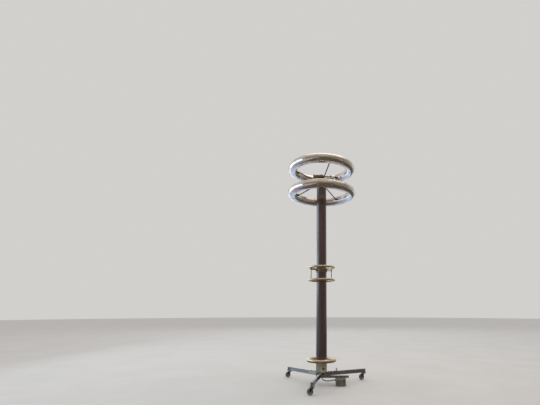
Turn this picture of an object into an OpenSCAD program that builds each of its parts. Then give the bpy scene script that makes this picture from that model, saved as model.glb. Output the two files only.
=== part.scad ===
/* [Toroid electrodes] */
// Radius of a toroid's centre line
toroid_ring_r = 755; // [600:5:900]
// Radius of a toroid's tube
toroid_tube_r = 117; // [80:1:150]
// Wall of a toroid's tube
toroid_wall = 3; // [2:0.5:6]
// Height of the lower toroid's middle plane
lower_toroid_z = 4500; // [4350:5:4560]
// Height of the upper toroid over the lower one, from middle to middle
toroid_spacing = 665; // [560:5:760]
// Number of pipe bends welded into one toroid
toroid_bends = 16; // [8:1:24]
// Hairline left between two bends, where the weld runs
weld_line = 0.4; // [0.3:0.1:1]
// Direction of the first weld, counted from +X towards +Y
first_weld_angle = 242; // [0:1:359]

/* [Spokes] */
// Direction of the first spoke
spoke_angle = 50; // [40:1:60]
// Number of spokes to each toroid
spoke_count = 3; // [3:1:4]
// Diameter of a spoke
spoke_d = 18; // [12:1:24]
// Diameter of a spoke's foot
foot_d = 56; // [40:1:70]
// How far a spoke's foot stands in from the tube
foot_len = 38; // [30:1:60]
// Drop of the upper feet below the toroid's middle plane
upper_foot_drop = 32; // [0:1:50]
// Depth that a spoke enters its foot
foot_socket = 18; // [10:1:25]

/* [Head] */
// Diameter of the spider hub that holds the spokes
spider_d = 190; // [150:1:240]
// Height of the spider hub
spider_h = 150; // [146:1:160]
// Height of the slope between the spider and its post
spider_neck = 30; // [20:1:40]
// Distance of each row of sockets from the spider's middle
socket_row = 22; // [18:1:24]
// Depth of a spoke's socket in the spider
spider_socket = 30; // [20:1:45]
// Diameter of the boss round a socket
boss_d = 36; // [28:1:40]
// How far a boss stands out from the spider
boss_out = 14; // [8:1:20]
// Diameter of the post over the spider
post_d = 64; // [50:1:80]
// Diameter of the terminal barrel
barrel_d = 100; // [80:1:110]
// How far the barrel reaches past the axis, away from the rod
barrel_len = 215; // [150:1:260]
// Length of the barrel's tapered nose
barrel_nose = 44; // [30:1:70]
// Diameter of the rim at the barrel's blind end
barrel_rim_d = 124; // [118:1:130]
// Thickness of the rim at the barrel's blind end
barrel_rim_t = 16; // [8:1:24]
// Diameter of the band that seats the barrel on its post
band_d = 116; // [112:1:126]
// Free space between the barrel's rim and the spokes under it
barrel_gap = 1; // [1:0.5:4]
// Diameter of the terminal rod
rod_d = 26; // [18:1:34]
// Distance of the terminal eye from the axis
eye_x = 245; // [180:1:300]
// Diameter of the hole in the terminal eye
eye_hole_d = 14; // [8:1:16]

/* [Column] */
// Outer diameter of the insulating tubes
tube_d = 250; // [200:1:260]
// Wall of the insulating tubes
tube_wall = 18; // [10:1:30]
// Height at which the lower tube's seat lies
lower_tube_z = 468; // [460:1:480]
// Height of the bolted face between the two tubes
joint_z = 2520; // [2400:5:2540]
// Height of the head flange's top face
head_z = 4720; // [4680:5:4740]
// Rim of a flange past its collar
flange_rim = 8; // [6:1:12]
// Thickness of a flange
flange_t = 18; // [12:1:26]
// Height of the collar that grips a tube
collar_h = 24; // [16:1:40]
// Wall of the collar that grips a tube
collar_wall = 10; // [6:1:12]

/* [Grading rings] */
// Radius of the joint rings' centre line
joint_ring_r = 301; // [280:1:340]
// Radius of the joint rings' tube
joint_ring_tube_r = 29; // [20:1:36]
// Height of the upper joint ring above the joint
upper_ring_rise = 76; // [65:1:120]
// Drop of the lower joint ring below the joint
lower_ring_drop = 230; // [150:5:300]
// Radius of the foot ring's centre line
foot_ring_r = 300; // [280:1:340]
// Radius of the foot ring's tube
foot_ring_tube_r = 38; // [25:1:42]
// Height of the foot ring's middle plane
foot_ring_z = 497; // [490:1:510]
// Wall of the ring tubes
ring_wall = 3; // [2:0.5:5]
// Number of bends in one grading ring
ring_bends = 8; // [4:1:12]
// Direction of the first ring arm
arm_angle = 35; // [25:1:45]
// Number of arms to the foot ring
foot_arm_count = 4; // [3:1:6]
// Number of arms that carry the joint rings
joint_arm_count = 2; // [2:1:4]
// Diameter of the arms and of the upright rods
arm_d = 16; // [10:1:20]

/* [Pedestal] */
// How much narrower the pedestal drum is than the tubes
pedestal_less = 5; // [0:1:20]
// Wall of the pedestal drum
pedestal_wall = 6; // [4:0.5:12]
// Direction that the connector block faces
connector_angle = 287; // [270:1:300]
// Width of the connector block
connector_w = 118; // [90:1:140]
// Height of the connector block
connector_h = 124; // [100:1:150]
// How far the connector block stands out past the drum
connector_out = 30; // [26:1:45]
// Diameter of the signal socket
socket_d = 52; // [30:1:60]
// Depth of the signal socket
socket_depth = 25; // [15:1:26]
// Height of the signal socket above the hub plate
socket_rise = 80; // [60:1:90]

/* [Base] */
// Direction of the front leg
front_leg_angle = 260.5; // [250:0.5:270]
// Angle between the two rear legs
rear_spread = 110; // [100:1:125]
// Distance of the castor pivots from the axis
castor_reach = 1100; // [900:10:1300]
// Height of the legs' underside
leg_z = 160; // [155:1:180]
// Height of the leg channel
leg_h = 80; // [60:1:100]
// Width of the leg channel's flanges
leg_w = 46; // [38:1:60]
// Web thickness of the leg channel
leg_web = 6; // [4:0.5:10]
// Flange thickness of the leg channel
leg_flange = 8; // [5:0.5:12]
// Distance of the hub block's flats from the axis
hub_flat = 104; // [90:1:120]
// Diameter of the round plate on the hub block
hub_plate_d = 272; // [250:1:320]
// Thickness of the round plate on the hub block
hub_plate_t = 10; // [6:1:16]
// Distance at which the plate over a leg's open side ends
root_reach = 370; // [300:5:420]
// Length of a castor's pad along the leg
pad_len = 112; // [100:1:130]
// Width of a castor's pad
pad_w = 92; // [80:1:110]
// Thickness of a castor's pad
pad_t = 6; // [4:1:10]

/* [Castors] */
// Diameter of a castor wheel
wheel_d = 125; // [100:1:125]
// Width of a castor's tyre
tyre_w = 34; // [26:1:34]
// Thickness of a castor's tyre
tyre_t = 13; // [8:1:18]
// Distance from a castor's pivot to its axle
trail = 40; // [30:1:50]
// Clear width between a fork's cheeks
fork_gap = 46; // [44:1:60]
// Thickness of a fork's cheeks
fork_t = 4; // [3:0.5:6]
// Thickness of a castor's top plate
castor_plate_t = 6; // [4:0.5:8]
// Height of the fixed bearing race
race_h = 12; // [8:0.5:14]
// Diameter of the bearing race
race_d = 64; // [54:1:72]
// Diameter of the kingpin
kingpin_d = 16; // [12:1:20]
// Diameter of the axle
axle_d = 12; // [10:1:14]
// Free space between a turning piece and its bearing
running_gap = 0.5; // [0.3:0.1:1]

/* [Measuring box] */
// Distance of the box arm in front of the axis
box_arm_y = 207; // [195:1:215]
// Distance of the box arm's end from the axis
box_arm_x = 600; // [570:5:640]
// Leg length of the box arm's angle section
angle_leg = 50; // [40:1:60]
// Thickness of the box arm's angle section
angle_t = 5; // [4:0.5:8]
// Distance of the box's middle from the axis
box_x = 421; // [400:1:440]
// Width of the box
box_w = 218; // [180:1:230]
// Depth of the box
box_deep = 180; // [150:1:190]
// Height of the box's underside
box_z = 14; // [10:1:20]
// Height of the box without its lid
box_h = 126; // [110:1:128]
// Wall of the box
box_wall = 3; // [2:0.5:5]
// Thickness of the lid's rim
lid_h = 12; // [8:1:14]
// Overhang of the lid past the box
lid_over = 3; // [2:1:6]
// Radius of the box's upright corners
box_corner = 12; // [6:1:20]
// Distance between the two straps
strap_pitch = 86; // [70:1:120]
// Width of a strap
strap_w = 34; // [24:1:44]
// Thickness of a strap
strap_t = 4; // [3:0.5:6]
// Height that a strap laps up the arm
strap_lap = 36; // [25:1:44]

/* [Signal lead] */
// Diameter of the lead
lead_d = 18; // [12:1:20]
// Diameter of the glands
gland_d = 30; // [26:1:36]
// Length of the glands
gland_len = 16; // [10:1:20]

/* [Earth post] */
// Distance of the earth post from the axis
earth_reach = 388; // [340:1:440]
// Diameter of the earth post
earth_d = 16; // [12:1:20]
// Height of the earth post over the leg
earth_h = 52; // [40:1:70]

/* [Hidden] */
$fn = 96;
// Gap at a curved seat between two fixed pieces
seat = 0.3;
// Overlap of a cutter past the face that it cuts
eps = 1;
// Names of the three legs and their castors
LEG_NAMES = ["right", "left", "front"];
leg_angles = [
    front_leg_angle - 180 - rear_spread / 2,
    front_leg_angle - 180 + rear_spread / 2,
    front_leg_angle
];
flange_d = tube_d + 2 * (collar_wall + flange_rim);
leg_top = leg_z + leg_h;
leg_end = castor_reach + pad_len / 2;
hub_top = leg_top + hub_plate_t;
pedestal_top = lower_tube_z - flange_t;
pedestal_d = tube_d - pedestal_less;
spider_mid = head_z + spider_h / 2;
// Points on a spoke's axis: in the spider and at the face of its foot
spoke_in_r = spider_d / 2 - spider_socket;
foot_face_r = toroid_ring_r - toroid_tube_r - foot_len;
spoke_run = foot_face_r - spoke_in_r;
upper_toroid_z = lower_toroid_z + toroid_spacing;
upper_foot_z = upper_toroid_z - upper_foot_drop;
upper_socket_z = spider_mid + socket_row;
lower_socket_z = spider_mid - socket_row;
// The barrel lies just over the upper spokes, where its rim crosses one, and over the spider's neck
upper_slope = (upper_foot_z - upper_socket_z) / spoke_run;
spoke_top_z = upper_socket_z + (barrel_len - spoke_in_r) * upper_slope
    + spoke_d / 2 * norm([1, upper_slope]);
neck_top_z = head_z + spider_h + spider_neck;
barrel_z = max(spoke_top_z, neck_top_z) + barrel_rim_d / 2 + barrel_gap;
pad_under = leg_z - pad_t;
race_top = pad_under - castor_plate_t;
race_under = race_top - race_h;
crown_top = race_under - running_gap;
crown_t = crown_top - (wheel_d / 2 + wheel_d / 2 + 5);
wheel_core_r = wheel_d / 2 - tyre_t;
tyre_round = 7;
lid_top = box_z + box_h + lid_over;
socket_z = hub_top + socket_rise;
// Route of the lead from the hub's gland to the box's gland
lead_start = [14, -62, leg_z - gland_len];
lead_end = [box_x - box_w / 2 - gland_len, -box_arm_y, 112];
lead_points = [
    lead_start,
    [15, -64, 120],
    [46, -96, 94],
    [107, -148, 86],
    [180, -190, 94],
    [250, -box_arm_y, 110],
    lead_end
];
lead_sides = 10;
lead_steps = 3;

// Ring of welded pipe bends, hollow, around the Z axis
module bent_ring(ring_r, tube_r, wall, bends, first) {
    pitch = 360 / bends;
    gap_angle = weld_line / ring_r * 180 / PI;
    for (i = [0 : bends - 1])
        rotate([0, 0, first + i * pitch + gap_angle / 2])
            rotate_extrude(angle = pitch - gap_angle)
                translate([ring_r, 0])
                    difference() {
                        circle(r = tube_r);
                        circle(r = tube_r - wall);
                    }
}

// Full ring, used to cut a seat that hugs a tube
module ring_cutter(ring_r, tube_r) {
    rotate_extrude()
        translate([ring_r, 0])
            circle(r = tube_r + seat);
}

module flange_with_collar(collar_up) {
    collar_r = tube_d / 2 + collar_wall;
    mirror([0, 0, collar_up ? 0 : 1])
        difference() {
            union() {
                cylinder(d = flange_d, h = flange_t);
                cylinder(r = collar_r, h = flange_t + collar_h);
            }
            translate([0, 0, flange_t])
                cylinder(d = tube_d + 2 * seat, h = collar_h + eps);
        }
}

module insulating_tube(z_low, z_high) {
    translate([0, 0, z_low])
        difference() {
            cylinder(d = tube_d, h = z_high - z_low);
            translate([0, 0, -eps])
                cylinder(d = tube_d - 2 * tube_wall, h = z_high - z_low + 2 * eps);
        }
}

// Places a child at a castor's pivot, turned so that it trails towards -X
module at_castor(i) {
    translate([castor_reach * cos(leg_angles[i]), castor_reach * sin(leg_angles[i]), 0])
        children();
}

module hub_block() {
    color("dimgray")
        translate([0, 0, leg_z])
            difference() {
                cylinder(r = hub_flat * 1.16, h = leg_h);
                for (a = leg_angles)
                    rotate([0, 0, a])
                        translate([hub_flat, -hub_flat, -eps])
                            cube([hub_flat, 2 * hub_flat, leg_h + 2 * eps]);
            }
}

module hub_plate() {
    color("dimgray")
        translate([0, 0, leg_top])
            cylinder(d = hub_plate_d, h = hub_plate_t);
}

// Channel whose open side faces counter-clockwise, closed at its root, with an end plate and a castor pad
module leg(i) {
    inner = leg_w - leg_web;
    pad_from = castor_reach - pad_len / 2;
    fillet = 5;
    color("slategray")
        rotate([0, 0, leg_angles[i]]) {
            difference() {
                translate([hub_flat, -leg_w / 2, leg_z])
                    cube([leg_end - hub_flat, leg_w, leg_h]);
                translate([hub_flat - eps, -leg_w / 2 + leg_web, leg_z + leg_flange])
                    rotate([90, 0, 90])
                        linear_extrude(leg_end - hub_flat - leg_web + eps)
                            polygon([
                                [fillet, 0], [inner + eps, 0],
                                [inner + eps, leg_h - 2 * leg_flange], [fillet, leg_h - 2 * leg_flange],
                                [0, leg_h - 2 * leg_flange - fillet], [0, fillet]
                            ]);
            }
            translate([hub_flat, leg_w / 2 - leg_web, leg_z + leg_flange - eps])
                cube([root_reach - hub_flat, leg_web, leg_h - 2 * leg_flange + 2 * eps]);
            translate([pad_from, -pad_w / 2, pad_under])
                cube([pad_len, pad_w, pad_t]);
        }
}

module castor_plate(i) {
    color("silver")
        at_castor(i)
            difference() {
                union() {
                    rotate([0, 0, leg_angles[i]])
                        translate([-pad_len / 2 + 4, -pad_w / 2 + 4, race_top])
                            cube([pad_len - 8, pad_w - 8, castor_plate_t]);
                    translate([0, 0, race_under])
                        cylinder(d = race_d, h = race_h + castor_plate_t / 2);
                }
                translate([0, 0, race_under - eps])
                    cylinder(d = kingpin_d + 2 * running_gap, h = race_h + castor_plate_t - 1 + eps);
            }
}

// One cheek of a fork in the XZ plane, from the crown down to the axle
module fork_cheek() {
    boss_r = axle_d / 2 + 9;
    rotate([90, 0, 0])
        linear_extrude(fork_t)
            difference() {
                union() {
                    translate([-trail, wheel_d / 2])
                        circle(r = boss_r);
                    polygon([
                        [-trail - boss_r, wheel_d / 2],
                        [-trail + boss_r, wheel_d / 2],
                        [race_d / 2, crown_top - crown_t],
                        [race_d / 2, crown_top],
                        [-race_d / 2, crown_top],
                        [-race_d / 2 - 14, crown_top - crown_t - 12]
                    ]);
                }
                translate([-trail, wheel_d / 2])
                    circle(d = axle_d + 2 * seat);
            }
}

// Bolt through both cheeks, with its head and its nut
module axle_bolt() {
    head_t = 5;
    head_d = axle_d + 8;
    translate([-trail, 0, wheel_d / 2])
        rotate([90, 0, 0]) {
            cylinder(d = axle_d, h = fork_gap + 2 * fork_t + head_t, center = true);
            for (side = [-1, 1])
                translate([0, 0, side * (fork_gap / 2 + fork_t + seat + head_t / 2)])
                    cylinder(d = head_d, h = head_t, center = true);
        }
}

module castor_fork(i) {
    color("black")
        at_castor(i) {
            for (side = [0, 1])
                translate([0, side == 0 ? -fork_gap / 2 : fork_gap / 2 + fork_t, 0])
                    fork_cheek();
            translate([-race_d / 2, -fork_gap / 2 - eps / 2, crown_top - crown_t])
                cube([race_d, fork_gap + eps, crown_t]);
            translate([0, 0, crown_top - eps])
                cylinder(d = kingpin_d, h = race_h + castor_plate_t - 4 + eps);
            axle_bolt();
        }
}

module castor_wheel(i) {
    boss_half = fork_gap / 2 - 1;
    rim_half = tyre_w / 2 - 2;
    web_half = 5;
    boss_r = axle_d / 2 + 8;
    bore_r = axle_d / 2 + running_gap;
    color("gray")
        at_castor(i)
            translate([-trail, 0, wheel_d / 2])
                rotate([90, 0, 0])
                    rotate_extrude()
                        polygon([
                            [bore_r, -boss_half],
                            [boss_r, -boss_half],
                            [boss_r + 2, -web_half],
                            [wheel_core_r - 8, -web_half],
                            [wheel_core_r - 5, -rim_half],
                            [wheel_core_r, -rim_half],
                            [wheel_core_r, rim_half],
                            [wheel_core_r - 5, rim_half],
                            [wheel_core_r - 8, web_half],
                            [boss_r + 2, web_half],
                            [boss_r, boss_half],
                            [bore_r, boss_half]
                        ]);
}

module castor_tyre(i) {
    color("darkgray")
        at_castor(i)
            translate([-trail, 0, wheel_d / 2])
                rotate([90, 0, 0])
                    rotate_extrude()
                        translate([wheel_core_r, 0])
                            intersection() {
                                translate([0, -tyre_w / 2])
                                    square([tyre_t, tyre_w]);
                                translate([tyre_t - tyre_round - tyre_w, 0])
                                    circle(r = tyre_w + tyre_round);
                            }
}

module pedestal() {
    color("gray")
        translate([0, 0, hub_top])
            difference() {
                cylinder(d = pedestal_d, h = pedestal_top - hub_top);
                translate([0, 0, -eps])
                    cylinder(d = pedestal_d - 2 * pedestal_wall, h = pedestal_top - hub_top + 2 * eps);
            }
}

module connector_block() {
    front = pedestal_d / 2 + connector_out;
    color("darkkhaki")
        rotate([0, 0, connector_angle])
            difference() {
                translate([pedestal_d / 4, -connector_w / 2, hub_top])
                    cube([front - pedestal_d / 4, connector_w, connector_h]);
                translate([0, 0, hub_top - eps])
                    cylinder(r = pedestal_d / 2 + seat, h = connector_h + 2 * eps);
                translate([front - socket_depth, 0, socket_z])
                    rotate([0, 90, 0])
                        cylinder(d = socket_d, h = socket_depth + eps);
            }
}

module foot_flange() {
    color("silver")
        translate([0, 0, pedestal_top])
            flange_with_collar(true);
}

module lower_insulator() {
    color("saddlebrown")
        insulating_tube(lower_tube_z, joint_z - flange_t);
}

module joint_flange_lower() {
    color("silver")
        translate([0, 0, joint_z])
            flange_with_collar(false);
}

module joint_flange_upper() {
    color("silver")
        translate([0, 0, joint_z])
            flange_with_collar(true);
}

module upper_insulator() {
    color("saddlebrown")
        insulating_tube(joint_z + flange_t, head_z - flange_t);
}

module head_flange() {
    color("silver")
        translate([0, 0, head_z])
            flange_with_collar(false);
}

module foot_ring() {
    color("khaki")
        translate([0, 0, foot_ring_z])
            bent_ring(foot_ring_r, foot_ring_tube_r, ring_wall, ring_bends, arm_angle + 22);
}

// Level rods from the foot flange's collar to the foot ring
module foot_ring_arms() {
    collar_r = tube_d / 2 + collar_wall;
    arm_z = lower_tube_z + collar_h / 2;
    color("dimgray")
        difference() {
            for (i = [0 : foot_arm_count - 1])
                rotate([0, 0, arm_angle + i * 360 / foot_arm_count])
                    translate([0, 0, arm_z])
                        rotate([0, 90, 0])
                            cylinder(d = arm_d, h = foot_ring_r);
            cylinder(r = collar_r + seat, h = foot_ring_z + foot_ring_r);
            translate([0, 0, foot_ring_z])
                ring_cutter(foot_ring_r, foot_ring_tube_r);
        }
}

module joint_ring_upper() {
    color("khaki")
        translate([0, 0, joint_z + upper_ring_rise])
            bent_ring(joint_ring_r, joint_ring_tube_r, ring_wall, ring_bends, arm_angle + 22);
}

module joint_ring_lower() {
    color("khaki")
        translate([0, 0, joint_z - lower_ring_drop])
            bent_ring(joint_ring_r, joint_ring_tube_r, ring_wall, ring_bends, arm_angle + 22);
}

// Level rods from the joint's flange, each with an upright rod between the two rings
module joint_ring_arms() {
    arm_z = joint_z + flange_t / 2;
    low = joint_z - lower_ring_drop;
    high = joint_z + upper_ring_rise;
    color("dimgray")
        difference() {
            for (i = [0 : joint_arm_count - 1])
                rotate([0, 0, arm_angle + i * 360 / joint_arm_count]) {
                    translate([0, 0, arm_z])
                        rotate([0, 90, 0])
                            cylinder(d = arm_d, h = joint_ring_r);
                    translate([joint_ring_r, 0, low])
                        cylinder(d = arm_d, h = high - low);
                }
            translate([0, 0, low])
                cylinder(r = flange_d / 2 + seat, h = high - low);
            for (z = [low, high])
                translate([0, 0, z])
                    ring_cutter(joint_ring_r, joint_ring_tube_r);
        }
}

// Places a child at a spoke's inner end, with Z along the spoke's axis in the XZ plane
module on_spoke_axis(z_in, z_foot) {
    translate([spoke_in_r, 0, z_in])
        rotate([0, 90 - atan2(z_foot - z_in, spoke_run), 0])
            children();
}

// Rods along a row of spokes, longer by past_in and past_out at their ends
module spoke_set(z_in, z_foot, d, past_in, past_out) {
    for (i = [0 : spoke_count - 1])
        rotate([0, 0, spoke_angle + i * 360 / spoke_count])
            on_spoke_axis(z_in, z_foot)
                translate([0, 0, -past_in])
                    cylinder(d = d, h = norm([z_foot - z_in, spoke_run]) + past_in + past_out);
}

// Bosses round a row of sockets, each in line with its spoke
module boss_row(z_in, z_foot) {
    chamfer = 4;
    for (i = [0 : spoke_count - 1])
        rotate([0, 0, spoke_angle + i * 360 / spoke_count])
            on_spoke_axis(z_in, z_foot) {
                cylinder(d = boss_d, h = spider_socket + boss_out);
                translate([0, 0, spider_socket + boss_out])
                    cylinder(d1 = boss_d, d2 = boss_d - 2 * chamfer, h = chamfer);
            }
}

// Turned hub under the terminal's post, with a sloping socket for each spoke
module spider_hub() {
    rim = 8;
    shoulder_r = spider_d / 2 - 10;
    color("dimgray")
        difference() {
            union() {
                translate([0, 0, head_z])
                    rotate_extrude()
                        polygon([
                            [0, 0],
                            [spider_d / 2 - rim / 2, 0],
                            [spider_d / 2, rim / 2],
                            [spider_d / 2, spider_h - rim],
                            [shoulder_r, spider_h],
                            [post_d / 2, spider_h + spider_neck],
                            [post_d / 2, barrel_z - head_z],
                            [0, barrel_z - head_z]
                        ]);
                boss_row(upper_socket_z, upper_foot_z);
                boss_row(lower_socket_z, lower_toroid_z);
            }
            spoke_set(upper_socket_z, upper_foot_z, spoke_d + 2 * seat, seat, 0);
            spoke_set(lower_socket_z, lower_toroid_z, spoke_d + 2 * seat, seat, 0);
            translate([0, 0, barrel_z])
                rotate([0, 90, 0])
                    cylinder(d = band_d + 2 * seat, h = 2 * post_d, center = true);
        }
}

// Turned barrel: dished blind end with a rim, waist, band over the post and tapered nose
module terminal_barrel() {
    dish = 5;
    edge = 3;
    band_half = post_d / 2;
    color("saddlebrown")
        translate([0, 0, barrel_z])
            rotate([0, 90, 0])
                rotate_extrude()
                    polygon([
                        [0, dish - barrel_len],
                        [barrel_d / 2 - 8, dish - barrel_len],
                        [barrel_d / 2, -barrel_len],
                        [barrel_rim_d / 2 - edge, -barrel_len],
                        [barrel_rim_d / 2, edge - barrel_len],
                        [barrel_rim_d / 2, barrel_rim_t - edge - barrel_len],
                        [barrel_rim_d / 2 - edge, barrel_rim_t - barrel_len],
                        [barrel_d / 2 + edge, barrel_rim_t - barrel_len],
                        [barrel_d / 2, barrel_rim_t + edge - barrel_len],
                        [barrel_d / 2, -band_half - edge],
                        [band_d / 2, -band_half],
                        [band_d / 2, band_half],
                        [barrel_d / 2 - edge, band_half + edge],
                        [rod_d / 2 + 11, band_half + barrel_nose],
                        [0, band_half + barrel_nose]
                    ]);
}

// Rod out of the barrel's nose, flattened into an eye
module terminal_rod() {
    eye_d = 3.2 * eye_hole_d;
    eye_t = 18;
    nose_x = post_d / 2 + barrel_nose;
    rod_end = eye_x - eye_hole_d / 2 - 6;
    color("dimgray")
        difference() {
            union() {
                translate([nose_x, 0, barrel_z])
                    rotate([0, 90, 0])
                        cylinder(d = rod_d, h = rod_end - nose_x);
                translate([eye_x, 0, barrel_z - eye_t / 2])
                    cylinder(d = eye_d, h = eye_t);
            }
            translate([eye_x, 0, barrel_z - rod_d])
                cylinder(d = eye_hole_d, h = 2 * rod_d);
        }
}

module lower_toroid() {
    color("lightsteelblue")
        translate([0, 0, lower_toroid_z])
            bent_ring(toroid_ring_r, toroid_tube_r, toroid_wall, toroid_bends, first_weld_angle);
}

module upper_toroid() {
    color("lightsteelblue")
        translate([0, 0, upper_toroid_z])
            bent_ring(toroid_ring_r, toroid_tube_r, toroid_wall, toroid_bends, first_weld_angle);
}

module lower_spokes() {
    color("dimgray")
        spoke_set(lower_socket_z, lower_toroid_z, spoke_d, 0, foot_socket);
}

module upper_spokes() {
    color("dimgray")
        spoke_set(upper_socket_z, upper_foot_z, spoke_d, 0, foot_socket);
}

// Round feet that hug the inner side of both toroids
module spoke_feet() {
    color("black")
        difference() {
            for (i = [0 : spoke_count - 1])
                rotate([0, 0, spoke_angle + i * 360 / spoke_count])
                    for (z = [lower_toroid_z, upper_foot_z])
                        translate([foot_face_r, 0, z])
                            rotate([0, 90, 0])
                                cylinder(d = foot_d, h = foot_len + toroid_tube_r / 2);
            translate([0, 0, lower_toroid_z])
                ring_cutter(toroid_ring_r, toroid_tube_r);
            translate([0, 0, upper_toroid_z])
                ring_cutter(toroid_ring_r, toroid_tube_r);
            spoke_set(upper_socket_z, upper_foot_z, spoke_d + 2 * seat, 0, foot_socket + seat);
            spoke_set(lower_socket_z, lower_toroid_z, spoke_d + 2 * seat, 0, foot_socket + seat);
        }
}

// Angle section from the open side of the front leg to past the box
module box_arm() {
    front = -box_arm_y - angle_leg / 2;
    color("dimgray")
        difference() {
            translate([-leg_w, front, leg_z])
                cube([box_arm_x + leg_w, angle_leg, angle_leg]);
            translate([-leg_w - eps, front + angle_t, leg_z + angle_t])
                cube([box_arm_x + leg_w + 2 * eps, angle_leg, angle_leg]);
            rotate([0, 0, front_leg_angle])
                translate([0, -leg_w * 2 + leg_w / 2, leg_z - eps])
                    cube([castor_reach, leg_w * 2, leg_h]);
        }
}

// Upright block over the box's outline with rounded corners, larger by grow on every side
module box_block(grow, h) {
    r = box_corner + grow;
    w = box_w + 2 * grow;
    deep = box_deep + 2 * grow;
    linear_extrude(h) {
        square([w, deep - 2 * r], center = true);
        square([w - 2 * r, deep], center = true);
        for (x = [r - w / 2, w / 2 - r])
            for (y = [r - deep / 2, deep / 2 - r])
                translate([x, y])
                    circle(r = r);
    }
}

module measuring_box() {
    color("olive")
        translate([box_x, -box_arm_y, box_z])
            difference() {
                box_block(0, box_h);
                translate([0, 0, box_wall])
                    box_block(-box_wall, box_h);
            }
}

module box_lid() {
    color("olivedrab")
        translate([box_x, -box_arm_y, lid_top - lid_h])
            difference() {
                box_block(lid_over, lid_h);
                translate([0, 0, -eps])
                    box_block(seat, lid_h - lid_over + eps);
            }
}

// Straps that lap the arm's front face and stand on the lid
module box_straps() {
    front = -box_arm_y - angle_leg / 2 - strap_t;
    color("silver")
        for (side = [-1, 1])
            translate([box_x + side * strap_pitch / 2 - strap_w / 2, front, lid_top]) {
                cube([strap_w, strap_t, leg_z - lid_top + strap_lap]);
                cube([strap_w, angle_leg / 2, strap_t]);
            }
}

module signal_glands() {
    bore = lead_d + 2 * seat;
    color("black") {
        translate([lead_start[0], lead_start[1], leg_z - gland_len])
            difference() {
                cylinder(d = gland_d, h = gland_len, $fn = 6);
                translate([0, 0, -eps])
                    cylinder(d = bore, h = gland_len / 2 + eps);
            }
        translate([lead_end[0], lead_end[1], lead_end[2]])
            rotate([0, 90, 0])
                difference() {
                    cylinder(d = gland_d, h = gland_len, $fn = 6);
                    translate([0, 0, -eps])
                        cylinder(d = bore, h = gland_len / 2 + eps);
                }
    }
}

// Smooth curve through the route's points
function point_at(i) = lead_points[max(0, min(len(lead_points) - 1, i))];
function curve_at(i, t) =
    let (a = point_at(i - 1), b = point_at(i), c = point_at(i + 1), d = point_at(i + 2))
    0.5 * (2 * b + (c - a) * t + (2 * a - 5 * b + 4 * c - d) * t * t
        + (3 * b - a - 3 * c + d) * t * t * t);
lead_route = concat(
    [lead_start + [0, 0, gland_len / 2 - seat]],
    [for (i = [0 : len(lead_points) - 2]) for (k = [0 : lead_steps - 1]) curve_at(i, k / lead_steps)],
    [lead_end],
    [lead_end + [gland_len / 2 - seat, 0, 0]]
);

function unit(v) = v / norm(v);
function heading(i) = unit(
    lead_route[min(len(lead_route) - 1, i + 1)] - lead_route[max(0, i - 1)]
);

module signal_lead() {
    count = len(lead_route);
    across = [0.6, -0.8, 0];
    rings = [
        for (i = [0 : count - 1])
            let (u = unit(cross(heading(i), across)), v = cross(heading(i), u))
            for (k = [0 : lead_sides - 1])
                lead_route[i] + lead_d / 2 * (u * cos(k * 360 / lead_sides) + v * sin(k * 360 / lead_sides))
    ];
    walls = [
        for (i = [0 : count - 2]) for (k = [0 : lead_sides - 1]) for (half = [0, 1])
            let (a = i * lead_sides + k, b = i * lead_sides + (k + 1) % lead_sides)
            half == 0 ? [a, b, b + lead_sides] : [a, b + lead_sides, a + lead_sides]
    ];
    first_cap = [for (k = [0 : lead_sides - 1]) lead_sides - 1 - k];
    last_cap = [for (k = [0 : lead_sides - 1]) (count - 1) * lead_sides + k];
    color("black")
        polyhedron(points = rings, faces = concat(walls, [first_cap, last_cap]), convexity = 4);
}

module earth_post() {
    collar_d = earth_d * 1.9;
    collar_t = 8;
    color("dimgray")
        rotate([0, 0, leg_angles[0]])
            translate([earth_reach, 0, leg_top]) {
                cylinder(d = earth_d, h = earth_h);
                cylinder(d = collar_d, h = collar_t);
                translate([0, 0, earth_h * 0.6])
                    cylinder(d = collar_d, h = collar_t);
            }
}

hub_block();
hub_plate();
leg(0);  // leg_right
leg(1);  // leg_left
leg(2);  // leg_front
for (i = [0 : 2]) {
    castor_plate(i);
    castor_fork(i);
    castor_wheel(i);
    castor_tyre(i);
}
pedestal();
connector_block();
foot_flange();
lower_insulator();
joint_flange_lower();
joint_flange_upper();
upper_insulator();
head_flange();
foot_ring();
foot_ring_arms();
joint_ring_upper();
joint_ring_lower();
joint_ring_arms();
spider_hub();
terminal_barrel();
terminal_rod();
lower_toroid();
upper_toroid();
lower_spokes();
upper_spokes();
spoke_feet();
box_arm();
measuring_box();
box_lid();
box_straps();
signal_glands();
signal_lead();
earth_post();
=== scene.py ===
"""Looks of a high-voltage test electrode stand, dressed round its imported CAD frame."""
import math

import bmesh
import bpy
from mathutils import Matrix, Vector


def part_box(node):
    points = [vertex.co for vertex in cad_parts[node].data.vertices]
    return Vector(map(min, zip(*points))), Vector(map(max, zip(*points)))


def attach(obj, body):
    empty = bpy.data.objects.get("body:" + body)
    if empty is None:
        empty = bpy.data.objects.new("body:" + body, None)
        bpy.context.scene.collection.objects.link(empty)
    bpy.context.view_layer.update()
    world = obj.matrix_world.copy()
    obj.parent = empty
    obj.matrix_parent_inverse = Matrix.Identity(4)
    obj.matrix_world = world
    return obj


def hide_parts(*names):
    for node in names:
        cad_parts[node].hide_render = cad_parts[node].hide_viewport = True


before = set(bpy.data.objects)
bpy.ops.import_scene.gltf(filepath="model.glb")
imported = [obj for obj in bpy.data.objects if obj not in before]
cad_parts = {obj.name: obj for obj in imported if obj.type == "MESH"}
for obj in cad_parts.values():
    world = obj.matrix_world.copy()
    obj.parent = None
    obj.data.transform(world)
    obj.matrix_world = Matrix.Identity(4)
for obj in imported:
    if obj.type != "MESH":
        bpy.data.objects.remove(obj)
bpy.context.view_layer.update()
scene = bpy.context.scene

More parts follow.
